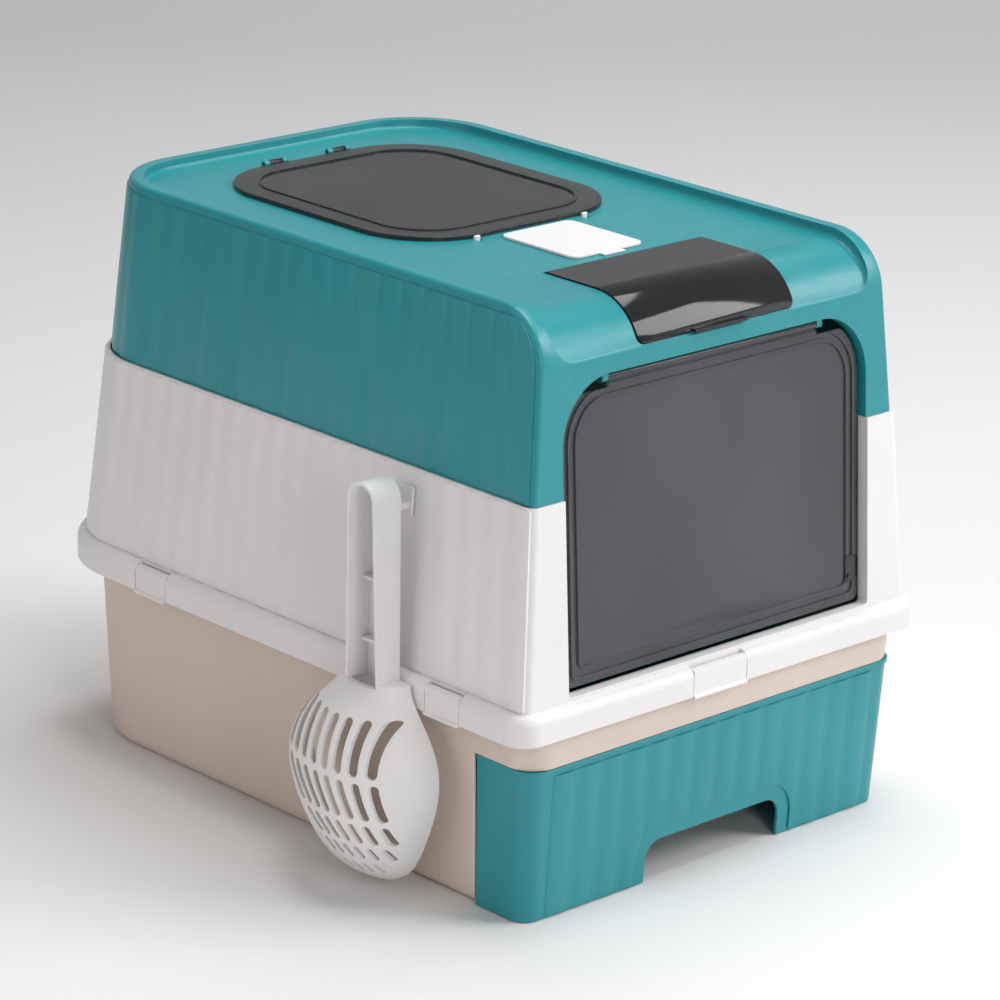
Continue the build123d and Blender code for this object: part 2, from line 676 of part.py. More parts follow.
with BuildPart() as frame_jamb:
    # return round the doorway, behind the front wall and below the seam
    add(doorway_block(FRAME_WALL, -0.2, FRAME_JAMB_DEPTH))
    with BuildSketch(Plane.XY.offset(RIM_LOW)):
        Rectangle(2 * RIM_HALF_WIDTH, 2 * RIM_FRONT)
    extrude(amount=SEAM - RIM_LOW, mode=Mode.INTERSECT)

with BuildPart() as rim_block:
    add(rounded_top(rim_plan(RIM_LOW), RIM_HIGH - RIM_LOW, RIM_SHOULDER))

# the scoop's hook is drawn on the left wall
HOOK_WALL = FRAME_HALF_WIDTH + (SEAM - HOOK_HEIGHT) * tan(LEAN)
HOOK_PLANE = Plane(
    origin=(-HOOK_WALL, SCOOP_AT, HOOK_HEIGHT), x_dir=(0, -1, 0), z_dir=(-cos(LEAN), 0, sin(LEAN))
)
HOOK_STAND = FLUTE_PROUD + FLUTE_DEPTH + FIT

with BuildPart() as middle_frame:
    # rim: a rounded shoulder and a skirt outside the base
    add(rim_block.part)
    add(
        rounded_top(rim_plan(RIM_LOW, FRAME_WALL), RIM_HIGH - RIM_LOW - FRAME_WALL, RIM_SHOULDER - FRAME_WALL),
        mode=Mode.SUBTRACT,
    )
    # wall with its flutes, and below it an inner leg that stands on the base's lip
    loft([frame_plan(RIM_HIGH), frame_plan(SEAM)])
    add(
        fluted_block(
            RIM_HIGH + FLUTE_END, SEAM - FLUTE_END, FRAME_HALF_WIDTH, FRAME_FRONT - FRAME_WALL, FRAME_BACK,
            FRAME_DRAFT, FRAME_DRAFT,
        )
    )
    extrude(frame_plan(RIM_HIGH), amount=BASE_TOP + FIT - RIM_HIGH)
    # hollow
    loft([frame_plan(RIM_HIGH, FRAME_WALL), frame_plan(SEAM, FRAME_WALL)], mode=Mode.SUBTRACT)
    extrude(frame_plan(RIM_HIGH, FRAME_WALL), amount=RIM_LOW - RIM_HIGH, mode=Mode.SUBTRACT)
    # ledge that carries the hood
    extrude(frame_plan(SEAT_TOP, FRAME_WALL / 2), amount=-FRAME_WALL)
    extrude(frame_plan(SEAT_TOP, FRAME_WALL + SEAT_WIDTH), amount=-FRAME_WALL, mode=Mode.SUBTRACT)
    # doorway
    add(frame_jamb.part)
    add(doorway_block(0, RIM_SHOULDER, 2 * JAMB_DEPTH), mode=Mode.SUBTRACT)
    # windows and pin cheeks of the clips
    for clip_site, clip_length in CLIP_SITES.values():
        add(clip_pocket(clip_length).moved(clip_site), mode=Mode.SUBTRACT)
        for cheek in clip_cheeks(clip_length):
            add(cheek.moved(clip_site) & rim_block.part)
        pin_room = clip_length + 2 * (CLIP_GAP + CLIP_CHEEK)
        add(pin_along_x(CLIP_PIN_RADIUS + PIN_FIT, pin_room).moved(clip_site), mode=Mode.SUBTRACT)
    # hole for the hook's peg
    with BuildSketch(HOOK_PLANE.offset(-2 * FRAME_WALL)):
        Circle(HOOK_PEG_RADIUS + PIN_FIT)
    extrude(amount=4 * FRAME_WALL, mode=Mode.SUBTRACT)
save(middle_frame.part, "middle_frame")

with BuildPart() as scoop_hook:
    # plate on the wall, peg through it, arm and upturned tip
    with BuildSketch(HOOK_PLANE.offset(HOOK_STAND)):
        RectangleRounded(3 * HOOK_HALF_WIDTH, 5 * HOOK_HALF_WIDTH, HOOK_HALF_WIDTH / 2)
    extrude(amount=HOOK_PLATE)
    with BuildSketch(HOOK_PLANE.offset(HOOK_STAND)):
        Circle(HOOK_PEG_RADIUS)
    extrude(amount=-HOOK_STAND - FRAME_WALL)
    hook_inner = HOOK_WALL + HOOK_STAND
    tip_inner = SCOOP_BACK + SCOOP_WALL + FIT
    tip_outer = tip_inner + HOOK_THICK / 2
    with BuildSketch(Plane.XZ.offset(-SCOOP_AT)):
        with BuildLine():
            Polyline(
                (-hook_inner - 1, HOOK_HEIGHT - HOOK_THICK), (-tip_outer, HOOK_HEIGHT - HOOK_THICK),
                (-tip_outer, HOOK_HEIGHT + HOOK_TIP), (-tip_inner, HOOK_HEIGHT + HOOK_TIP),
                (-tip_inner, HOOK_HEIGHT), (-hook_inner - 1, HOOK_HEIGHT), close=True,
            )
        make_face()
    extrude(amount=HOOK_HALF_WIDTH, both=True)
save(scoop_hook.part, "scoop_hook")


# ---------------------------------------------------------------- scoop
SCOOP_TOP = HOOK_HEIGHT + HOOK_TO_TOP


def bowl_plan(z, to_back, to_front, depth, back):
    """Half oval that bulges away from the box, with a short straight edge towards the box."""
    middle = (-SCOOP_BACK - BOWL_EDGE, SCOOP_AT)
    with BuildSketch(Plane.XY.offset(z)) as plan:
        with BuildLine():
            EllipticalCenterArc(middle, depth - BOWL_EDGE, to_back, 90, arc_size=90)
            EllipticalCenterArc(middle, depth - BOWL_EDGE, to_front, 180, arc_size=90)
            Polyline(
                (-SCOOP_BACK - BOWL_EDGE, SCOOP_AT - to_front), (-back, SCOOP_AT - to_front),
                (-back, SCOOP_AT + to_back), (-SCOOP_BACK - BOWL_EDGE, SCOOP_AT + to_back),
            )
        make_face()
    return plan.sketch


def bowl_block(inset, back):
    """Solid of the bowl's outer shape, moved inwards by inset."""
    plans = []
    for share, to_back, to_front, depth in BOWL_STATIONS:
        z = BOWL_LOW + inset + share * (HANDLE_LOW - BOWL_LOW - 2 * inset)
        plans.append(bowl_plan(z, to_back - inset, to_front - inset, depth - inset, back))
    with BuildPart() as block:
        loft(plans)
    return block.part


def handle_outline(inset):
    """Side view of the handle, seen along X: straight sides and a round top end."""
    top_half = HANDLE_TOP_HALF_WIDTH - inset
    low_half = HANDLE_LOW_HALF_WIDTH - inset
    shoulder = SCOOP_TOP - HANDLE_TOP_HALF_WIDTH
    low = HANDLE_LOW - SCOOP_WALL
    with BuildSketch(Plane.YZ.offset(-SCOOP_BACK)) as outline:
        with BuildLine():
            Polyline(
                (SCOOP_AT - top_half, shoulder), (SCOOP_AT - low_half, low),
                (SCOOP_AT + low_half, low), (SCOOP_AT + top_half, shoulder),
            )
            ThreePointArc(
                (SCOOP_AT + top_half, shoulder), (SCOOP_AT, shoulder + top_half), (SCOOP_AT - top_half, shoulder)
            )
        make_face()
    return outline.sketch


with BuildPart() as handle_block:
    # handle as a solid, deeper at the top than at the bowl
    extrude(handle_outline(0), amount=-HANDLE_TOP_DEPTH)
    with BuildSketch(Plane.XZ.offset(-SCOOP_AT)):
        with BuildLine():
            Polyline(
                (-SCOOP_BACK, HANDLE_LOW - SCOOP_WALL), (-SCOOP_BACK, SCOOP_TOP),
                (-SCOOP_BACK - HANDLE_TOP_DEPTH, SCOOP_TOP),
                (-SCOOP_BACK - HANDLE_TOP_DEPTH, SCOOP_TOP - HANDLE_TOP_HALF_WIDTH),
                (-SCOOP_BACK - HANDLE_LOW_DEPTH, HANDLE_LOW - SCOOP_WALL), close=True,
            )
        make_face()
    extrude(amount=2 * HANDLE_LOW_HALF_WIDTH, both=True, mode=Mode.INTERSECT)

with BuildPart() as bowl_slots:
    # rows of slots that fan out, closer and narrower towards the bowl's tip
    for row, (row_high, row_low, row_start, row_count, row_lean, row_turn) in enumerate(SLOT_ROWS):
        with BuildSketch(Plane.YZ.offset(-SCOOP_BACK - BOWL_EDGE - SCOOP_WALL)):
            for slot_step in range(row_count):
                slot_at = row_start + slot_step * (SLOT_PITCH - row * SLOT_PITCH_STEP)
                slot_lean = row_lean + slot_step * row_turn
                slot_length = (row_high - row_low) / cos(radians(slot_lean))
                with Locations((slot_at, (row_high + row_low) / 2)):
                    SlotOverall(slot_length, SLOT_WIDTH - row * SLOT_WIDTH_STEP, rotation=90 - slot_lean)
        extrude(amount=-2 * BOWL_DEPTH)

with BuildPart() as scoop:
    add(bowl_block(0, SCOOP_BACK))
    add(handle_block.part)
    add(bowl_block(SCOOP_WALL, SCOOP_BACK - 1), mode=Mode.SUBTRACT)
    # channel along the handle, open away from the box
    extrude(
        handle_outline(SCOOP_WALL).moved(Location((-SCOOP_WALL, 0, 0))), amount=-HANDLE_TOP_DEPTH,
        mode=Mode.SUBTRACT,
    )
    # cross webs in the channel, the lowest one closing it above the bowl
    for web_height in WEB_HEIGHTS:
        web_depth = HANDLE_LOW_DEPTH - WEB_DEPTH
        with BuildSketch(Plane.XY.offset(web_height)):
            with Locations((-SCOOP_BACK - web_depth / 2, SCOOP_AT)):
                Rectangle(web_depth, 2 * HANDLE_TOP_HALF_WIDTH)
        extrude(amount=SCOOP_WALL)
    add(bowl_slots.part, mode=Mode.SUBTRACT)
    # slot that hangs on the hook
    with BuildSketch(Plane.YZ.offset(-SCOOP_BACK + 1)):
        with Locations((SCOOP_AT, HOOK_HEIGHT + FIT - SLOT_DROP / 2)):
            Rectangle(2 * (HOOK_HALF_WIDTH + FIT), SLOT_DROP)
    extrude(amount=-2 * SCOOP_WALL, mode=Mode.SUBTRACT)
save(scoop.part, "scoop")


# ---------------------------------------------------------------- hood
ROOF_HALF_WIDTH = HOOD_HALF_WIDTH - (ROOF_TOP - SEAM) * tan(radians(HOOD_DRAFT))
ROOF_BACK = HOOD_BACK - (ROOF_TOP - SEAM) * tan(radians(HOOD_BACK_DRAFT))
RECESS_BEND_Z = ROOF_FLOOR - RECESS_BEND_RADIUS
RECESS_ANGLE = asin((RECESS_LOW - RECESS_BEND_Z) / RECESS_BEND_RADIUS)
RECESS_BEND_Y = (
    -HOOD_FRONT + (RECESS_LOW - SEAM) * tan(LEAN) + RECESS_STEP + RECESS_BEND_RADIUS * cos(RECESS_ANGLE)
)


def above_recess(sink):
    """Side view of everything above the recessed roof, whose surface is sunk by sink."""
    radius = RECESS_BEND_RADIUS - sink
    foot_y = RECESS_BEND_Y - radius * cos(RECESS_ANGLE)
    foot_z = RECESS_BEND_Z + radius * sin(RECESS_ANGLE)
    top = ROOF_TOP + BEND_RADIUS
    with BuildSketch(Plane.YZ) as profile:
        with BuildLine():
            Polyline(
                (foot_y, foot_z), (foot_y, RECESS_BEND_Z), (-2 * RIM_FRONT, RECESS_BEND_Z),
                (-2 * RIM_FRONT, top), (RIM_BACK, top), (RIM_BACK, RECESS_BEND_Z + radius),
                (RECESS_BEND_Y, RECESS_BEND_Z + radius),
            )
            CenterArc((RECESS_BEND_Y, RECESS_BEND_Z), radius, 90, 90 - degrees(RECESS_ANGLE))
        make_face()
    return profile.sketch


def front_view(half_width, low, radius, front, back):
    """Block seen from the front as a tall outline with two rounded lower corners."""
    with BuildPart() as block:
        with BuildSketch(Plane.XZ.offset(-back)):
            with BuildLine():
                FilletPolyline(
                    (-half_width, ROOF_TOP + BEND_RADIUS), (-half_width, low),
                    (half_width, low), (half_width, ROOF_TOP + BEND_RADIUS),
                    radius=(0, radius, radius, 0), close=True,
                )
            make_face()
        extrude(amount=front + back)
    return block.part


def recess_block(grow, sink, soft=0.0):
    """What is cut out of the roof: its outline grown by grow, its floor sunk by sink."""
    half_width = ROOF_HALF_WIDTH - ROOF_RIM_WIDTH + grow
    back = ROOF_BACK - ROOF_RIM_WIDTH + grow
    with BuildPart() as block:
        add(front_view(half_width, RECESS_LOW - grow, RECESS_LOW_RADIUS + grow, RIM_FRONT, RIM_BACK))
        extrude(
            rounded_plan(RECESS_BEND_Z, half_width, 2 * RIM_FRONT, back, 1.0, RECESS_BACK_RADIUS + grow),
            amount=2 * BEND_RADIUS + ROOF_TOP - RECESS_BEND_Z, mode=Mode.INTERSECT,
        )
        extrude(above_recess(sink), amount=RIM_HALF_WIDTH, both=True, mode=Mode.INTERSECT)
        if soft:
            foot_edges = block.edges().filter_by_position(Axis.Z, ROOF_FLOOR - sink, ROOF_FLOOR - sink)
            fillet(foot_edges.filter_by(lambda edge: edge.center().Y > RECESS_BEND_Y + 1), radius=soft)
    return block.part


# compartment under the curved cover, and the axis of that cover
WELL_HALF_WIDTH = COVER_HALF_WIDTH + COVER_GAP
COVER_AXIS_Z = ROOF_FLOOR + COVER_PROUD - COVER_BARREL_RADIUS
COVER_AXIS_Y = -COVER_BACK - COVER_GAP - COVER_BARREL_RADIUS
COVER_OPEN_LOW = COVER_LOW - COVER_GAP


def well_block(grow, sink):
    """Compartment under the cover, grown by grow and ending sink behind the curved roof."""
    with BuildPart() as block:
        with BuildSketch(Plane.XY.offset(WELL_FLOOR - grow)):
            with Locations((0, -COVER_BACK + grow)):
                Rectangle(
                    2 * (WELL_HALF_WIDTH + grow), RIM_FRONT, align=(Align.CENTER, Align.MAX)
                )
        extrude(amount=ROOF_TOP - WELL_FLOOR + grow)
        extrude(above_recess(sink), amount=RIM_HALF_WIDTH, both=True, mode=Mode.SUBTRACT)
        extrude(bend_profile(HOOD_WALL / 2, SKIRT_LOW), amount=RIM_HALF_WIDTH, both=True, mode=Mode.INTERSECT)
    return block.part


def round_lug(radius, stand, hole, width, x, y, z, turn=0.0):
    """Lug across X with a pin hole: a round end on a foot that stands stand below its axis."""
    with BuildPart() as lug:
        with BuildSketch(Plane.YZ.offset(x)):
            with Locations(Location((y, z), turn)):
                Circle(radius)
                Rectangle(2 * radius, stand, align=(Align.CENTER, Align.MAX))
                Circle(hole, mode=Mode.SUBTRACT)
        extrude(amount=width / 2, both=True)
    return lug.part


HATCH_AXIS_Y = HATCH_BACK + HATCH_BARREL_RADIUS + 1.8
HATCH_AXIS_Z = ROOF_FLOOR + FIT + HATCH_BARREL_RADIUS + 0.2
HATCH_LUG_AT = [
    side * (HATCH_KNUCKLE_AT + way * (HATCH_KNUCKLE_LENGTH / 2 + HATCH_LUG_GAP + HATCH_LUG_WIDTH / 2))
    for side in (-1, 1)
    for way in (-1, 1)
]
DOOR_LUG_AT = DOOR_BARREL_HALF_LENGTH + FIT + DOOR_LUG_WIDTH / 2
STEM_FRONT = PLATE_BACK + STEM_DEPTH
CATCH_BACK = HATCH_FRONT + FIT

with BuildPart() as hood_block:
    # outer shape: drafted walls under a front that bends into the roof
    loft([hood_plan(SKIRT_LOW), hood_plan(ROOF_TOP)])
    extrude(bend_profile(0, SKIRT_LOW), amount=RIM_HALF_WIDTH, both=True, mode=Mode.INTERSECT)
    # round the roof's edge and the two front corners down to the seam
    top_edges = [edge for edge in hood_block.edges().group_by(Axis.Z)[-1] if edge.center().Y > BEND_Y + 1]
    corner_edges = [
        edge for edge in hood_block.edges()
        if edge.center().Y < BEND_Y and abs(edge.center().X) > ROOF_HALF_WIDTH - 1 and edge.center().Z > SEAM
    ]
    fillet(top_edges + corner_edges, radius=HOOD_EDGE)

with BuildPart() as hood_flutes:
    add(
        under_bend(
            fluted_block(
                SEAM + FIT + FLUTE_END, ROOF_FLOOR, HOOD_HALF_WIDTH, HOOD_FRONT, HOOD_BACK,
                HOOD_DRAFT, HOOD_BACK_DRAFT,
            ),
            HOOD_EDGE, SKIRT_LOW,
        )
    )

with BuildPart() as hood_hollow:
    loft([hood_plan(SKIRT_LOW, HOOD_WALL), hood_plan(ROOF_TOP, HOOD_WALL)])
    extrude(bend_profile(HOOD_WALL, SKIRT_LOW), amount=RIM_HALF_WIDTH, both=True, mode=Mode.INTERSECT)
    add(recess_block(HOOD_WALL, HOOD_WALL), mode=Mode.SUBTRACT)
    add(well_block(WELL_WALL, -ROOF_RECESS), mode=Mode.SUBTRACT)

with BuildPart() as hood_jamb:
    # return round the upper part of the doorway
    add(doorway_block(HOOD_WALL, -FRAME_FRONT + HOOD_FRONT - 0.2, JAMB_DEPTH))
    with BuildSketch(Plane.XY.offset(SEAM + FIT)):
        Rectangle(2 * RIM_HALF_WIDTH, 2 * RIM_FRONT)
    extrude(amount=ROOF_TOP - SEAM, mode=Mode.INTERSECT)

with BuildPart() as latch_slots:
    # slots in the roof for the latch's stem and its two catches, as long as its travel asks
    with BuildSketch(Plane.XY.offset(ROOF_FLOOR - 2 * HOOD_WALL)):
        with Locations((0, -PLATE_BACK - STEM_DEPTH / 2 - STEM_AT - PLATE_TRAVEL / 2)):
            Rectangle(2 * (LATCH_STEM_HALF_WIDTH + FIT), STEM_DEPTH + PLATE_TRAVEL + 2 * FIT)
        with Locations((0, -CATCH_BACK - (CATCH_DEPTH + PLATE_TRAVEL) / 2)):
            with GridLocations(2 * CATCH_AT, 1, 2, 1):
                Rectangle(CATCH_WIDTH + 2 * FIT, CATCH_DEPTH + PLATE_TRAVEL + 2 * FIT)
    extrude(amount=4 * HOOD_WALL)

with BuildPart() as hood_shell:
    add(hood_block.part)
    add(hood_flutes.part)
    add(recess_block(0, 0, RECESS_SOFT), mode=Mode.SUBTRACT)
    add(hood_hollow.part, mode=Mode.SUBTRACT)
    # compartment, open above through the roof and the bend
    add(well_block(0, HOOD_WALL), mode=Mode.SUBTRACT)
    add(
        front_view(WELL_HALF_WIDTH, COVER_OPEN_LOW, COVER_CORNER, RIM_FRONT, -COVER_BACK),
        mode=Mode.SUBTRACT,
    )
    # the front wall stands on the middle frame; only the sides and the back have a skirt
    with BuildSketch(Plane.XY.offset(SKIRT_LOW - 1)):
        with Locations((0, -SKIRT_FRONT)):
            Rectangle(2 * RIM_HALF_WIDTH, RIM_FRONT, align=(Align.CENTER, Align.MAX))
    extrude(amount=SKIRT_HEIGHT + 1 + FIT, mode=Mode.SUBTRACT)
    # doorway
    add(hood_jamb.part)
    add(doorway_block(0, RIM_SHOULDER, 2 * JAMB_DEPTH), mode=Mode.SUBTRACT)
    # opening under the hatch
    hatch_open_half = HATCH_HALF_WIDTH - HATCH_FLANGE
    extrude(
        rounded_plan(
            ROOF_FLOOR - 2 * HOOD_WALL, hatch_open_half, HATCH_FRONT - HATCH_FLANGE,
            HATCH_BACK - HATCH_FLANGE, HATCH_RADIUS - HATCH_FLANGE, HATCH_RADIUS - HATCH_FLANGE,
        ),
        amount=4 * HOOD_WALL, mode=Mode.SUBTRACT,
    )
    add(latch_slots.part, mode=Mode.SUBTRACT)
    # hinge lugs of the hatch and of the door
    for lug_x in HATCH_LUG_AT:
        add(
            round_lug(
                HATCH_BARREL_RADIUS, HATCH_AXIS_Z - ROOF_FLOOR + 0.2, HATCH_PIN_RADIUS + PIN_FIT,
                HATCH_LUG_WIDTH, lug_x, HATCH_AXIS_Y, HATCH_AXIS_Z,
            )
        )
    for side in (-1, 1):
        add(
            round_lug(
                DOOR_BARREL_RADIUS, DOOR_BARREL_DROP + 1, DOOR_PIN_RADIUS + PIN_FIT,
                DOOR_LUG_WIDTH, side * DOOR_LUG_AT, HINGE_POINT.Y, HINGE_POINT.Z, 180 - FRAME_DRAFT,
            )
        )
        # hole for the end of the cover's pin
        add(
            pin_along_x(COVER_PIN_RADIUS + PIN_FIT, 2 * WELL_WALL, side * (WELL_HALF_WIDTH + WELL_WALL / 2)).moved(
                Location((0, COVER_AXIS_Y, COVER_AXIS_Z))
            ),
            mode=Mode.SUBTRACT,
        )
save(hood_shell.part, "hood_shell")


# ---------------------------------------------------------------- hatch and its latch
def hatch_plan(z, inset):
    """Outline of the hatch's lid at height z."""
    radius = HATCH_RADIUS - inset
    return rounded_plan(z, HATCH_HALF_WIDTH - inset, HATCH_FRONT - inset, HATCH_BACK - inset, radius, radius)


LID_LOW = ROOF_FLOOR + FIT
LID_STEP = (HATCH_THICK - HATCH_WINDOW_THICK) / 2

with BuildPart() as hatch_lid:
    # flange round a thinner window, with a bead along the window's edge
    extrude(hatch_plan(LID_LOW, 0), amount=HATCH_THICK)
    fillet(hatch_lid.faces().sort_by(Axis.Z)[-1].edges(), radius=HATCH_BEAD / 2)
    extrude(hatch_plan(LID_LOW + HATCH_THICK, HATCH_FLANGE - HATCH_BEAD), amount=HATCH_BEAD / 2)
    extrude(
        hatch_plan(LID_LOW + HATCH_THICK + HATCH_BEAD / 2, HATCH_FLANGE), amount=-LID_STEP - HATCH_BEAD / 2,
        mode=Mode.SUBTRACT,
    )
    # rib below that drops into the opening
    extrude(hatch_plan(LID_LOW, HATCH_FLANGE + HATCH_SKIRT_GAP), amount=-HATCH_SKIRT)
    extrude(
        hatch_plan(LID_LOW + LID_STEP, HATCH_FLANGE + HATCH_SKIRT_GAP + HATCH_WINDOW_THICK),
        amount=-HATCH_SKIRT - LID_STEP, mode=Mode.SUBTRACT,
    )
    # knuckles at the back
    for side in (-1, 1):
        with BuildSketch(Plane.YZ.offset(side * HATCH_KNUCKLE_AT)):
            with Locations((HATCH_BACK - HATCH_THICK, LID_LOW)):
                Rectangle(
                    HATCH_AXIS_Y - HATCH_BACK + HATCH_THICK, HATCH_THICK, align=(Align.MIN, Align.MIN)
                )
            with Locations((HATCH_AXIS_Y, HATCH_AXIS_Z)):
                Circle(HATCH_BARREL_RADIUS)
        extrude(amount=HATCH_KNUCKLE_LENGTH / 2, both=True)
    with BuildSketch(Plane.YZ):
        with Locations((HATCH_AXIS_Y, HATCH_AXIS_Z)):
            Circle(HATCH_PIN_RADIUS + PIN_FIT)
    extrude(amount=HATCH_HALF_WIDTH, both=True, mode=Mode.SUBTRACT)
save(hatch_lid.part, "hatch_lid")

with BuildPart() as hatch_pins:
    hatch_pin_length = HATCH_KNUCKLE_LENGTH + 2 * HATCH_LUG_GAP + 2 * HATCH_LUG_WIDTH
    for side in (-1, 1):
        add(
            pin_along_x(HATCH_PIN_RADIUS, hatch_pin_length, side * HATCH_KNUCKLE_AT).moved(
                Location((0, HATCH_AXIS_Y, HATCH_AXIS_Z))
            )
        )
save(hatch_pins.part, "hatch_pins")

BAR_TOP = ROOF_FLOOR - HOOD_WALL - FIT

with BuildPart() as latch_plate:
    # plate with a finger tab at its front, on a stem through the roof
    with BuildSketch(Plane.XY.offset(LID_LOW)):
        with Locations((PLATE_AT, -(PLATE_BACK + PLATE_FRONT) / 2)):
            RectangleRounded(2 * PLATE_HALF_WIDTH, PLATE_FRONT - PLATE_BACK, PLATE_RADIUS)
    extrude(amount=PLATE_THICK)
    fillet(latch_plate.faces().sort_by(Axis.Z)[-1].edges(), radius=PLATE_THICK / 3)
    with BuildSketch(Plane.XY.offset(LID_LOW)):
        with Locations((PLATE_AT, -PLATE_FRONT + PLATE_RADIUS)):
            Rectangle(
                2 * PLATE_TAB_HALF_WIDTH, PLATE_TAB_FRONT - PLATE_FRONT + PLATE_RADIUS,
                align=(Align.CENTER, Align.MAX),
            )
    extrude(amount=PLATE_THICK / 2)
    with BuildSketch(Plane.XY.offset(BAR_TOP)):
        with Locations((0, -PLATE_BACK - STEM_AT - STEM_DEPTH / 2)):
            Rectangle(2 * LATCH_STEM_HALF_WIDTH, STEM_DEPTH)
    extrude(amount=LID_LOW - BAR_TOP)
save(latch_plate.part, "latch_plate")

with BuildPart() as latch_bar:
    # bar under the roof, fixed to the stem, with a catch at each end that rises beside the lid
    with BuildSketch(Plane.XY.offset(BAR_TOP)):
        with Locations((0, -CATCH_BACK)):
            Rectangle(
                2 * CATCH_AT + CATCH_WIDTH, PLATE_BACK + STEM_AT + STEM_DEPTH - CATCH_BACK,
                align=(Align.CENTER, Align.MAX),
            )
    extrude(amount=-LATCH_BAR)
    for side in (-1, 1):
        with BuildSketch(Plane.YZ.offset(side * CATCH_AT)):
            with BuildLine():
                Polyline(
                    (-CATCH_BACK, BAR_TOP - LATCH_BAR / 2), (-CATCH_BACK, LID_LOW + CATCH_RISE),
                    (-CATCH_BACK - CATCH_DEPTH / 2, LID_LOW + CATCH_RISE + CATCH_DEPTH / 4),
                    (-CATCH_BACK - CATCH_DEPTH, LID_LOW + CATCH_RISE),
                    (-CATCH_BACK - CATCH_DEPTH, BAR_TOP - LATCH_BAR / 2), close=True,
                )
            make_face()
        extrude(amount=CATCH_WIDTH / 2, both=True)
save(latch_bar.part, "latch_bar")


# ---------------------------------------------------------------- deodoriser compartment
with BuildPart() as bin_cover:
    # curved shell that follows the roof's bend, with a barrel along its rear edge
    add(front_view(COVER_HALF_WIDTH, COVER_LOW, COVER_CORNER, RIM_FRONT, COVER_AXIS_Y))
    extrude(above_recess(COVER_THICK - COVER_PROUD), amount=RIM_HALF_WIDTH, both=True, mode=Mode.INTERSECT)
    extrude(above_recess(-COVER_PROUD), amount=RIM_HALF_WIDTH, both=True, mode=Mode.SUBTRACT)
    with BuildSketch(Plane.YZ):
        with Locations((COVER_AXIS_Y, COVER_AXIS_Z)):
            Circle(COVER_BARREL_RADIUS)
    extrude(amount=COVER_HALF_WIDTH, both=True)
    # finger tab at the lower edge
    tab_y = RECESS_BEND_Y - (RECESS_BEND_RADIUS + COVER_PROUD) * cos(RECESS_ANGLE)
    with BuildSketch(Plane.YZ):
        with Locations((tab_y + COVER_THICK / 2, COVER_LOW)):
            Rectangle(COVER_TAB + COVER_THICK / 2, COVER_THICK, align=(Align.MAX, Align.MIN))
    extrude(amount=COVER_TAB_HALF_WIDTH, both=True)
    with BuildSketch(Plane.YZ):
        with Locations((COVER_AXIS_Y, COVER_AXIS_Z)):
            Circle(COVER_PIN_RADIUS + PIN_FIT)
    extrude(amount=COVER_HALF_WIDTH, both=True, mode=Mode.SUBTRACT)
save(bin_cover.part, "bin_cover")

with BuildPart() as cover_pins:
    for side in (-1, 1):
        cover_pin_at = side * (WELL_HALF_WIDTH + WELL_WALL - COVER_PIN_LENGTH / 2)
        add(
            pin_along_x(COVER_PIN_RADIUS, COVER_PIN_LENGTH, cover_pin_at).moved(
                Location((0, COVER_AXIS_Y, COVER_AXIS_Z))
            )
        )
save(cover_pins.part, "cover_pins")


def tray_in_well(z, inset):
    """Plan of the bin in the compartment, moved inwards by inset."""
    half_width = WELL_HALF_WIDTH - BIN_CLEAR - inset
    return rounded_plan(
        z, half_width, BIN_FRONT - inset, -COVER_BACK - BIN_CLEAR - inset, BIN_RADIUS - inset, BIN_RADIUS - inset
    )


with BuildPart() as deodoriser_bin:
    extrude(tray_in_well(WELL_FLOOR, 0), amount=BIN_HEIGHT)
    extrude(tray_in_well(WELL_FLOOR + BIN_WALL, BIN_WALL), amount=BIN_HEIGHT, mode=Mode.SUBTRACT)
save(deodoriser_bin.part, "deodoriser_bin")

with BuildPart() as charcoal_cartridge:
    # flat cartridge with rows of holes in its top
    cartridge_top = WELL_FLOOR + BIN_WALL + CARTRIDGE_HEIGHT
    extrude(tray_in_well(WELL_FLOOR + BIN_WALL, BIN_WALL + CARTRIDGE_CLEAR), amount=CARTRIDGE_HEIGHT)
    fillet(charcoal_cartridge.faces().sort_by(Axis.Z)[-1].edges(), radius=CARTRIDGE_CLEAR)
    with BuildSketch(Plane.XY.offset(cartridge_top)):
        with Locations((0, -(COVER_BACK + BIN_CLEAR + BIN_FRONT) / 2)):
            with GridLocations(CARTRIDGE_PITCH, CARTRIDGE_PITCH, 7, 3):
                SlotOverall(2 * CARTRIDGE_HOLE, CARTRIDGE_HOLE)
    extrude(amount=-CARTRIDGE_HOLE, mode=Mode.SUBTRACT)
save(charcoal_cartridge.part, "charcoal_cartridge")


# ---------------------------------------------------------------- door
DOOR_FACE = DOOR_THICK / 2 - DOOR_SET_BACK
DOOR_EDGE = DOORWAY_HALF_WIDTH - DOOR_GAP
LOCK_UP = (LOCK_HEIGHT - SEAM) / cos(LEAN)


def door_box(x_low, x_high, up_low, up_high, out_low, out_high):
    """Box given on the leaning plane of the door."""
    with BuildPart() as box:
        with BuildSketch(DOOR_PLANE.offset(out_low)):
            with Locations(((x_low + x_high) / 2, (up_low + up_high) / 2)):
                Rectangle(x_high - x_low, up_high - up_low)
        extrude(amount=out_high - out_low)
    return box.part


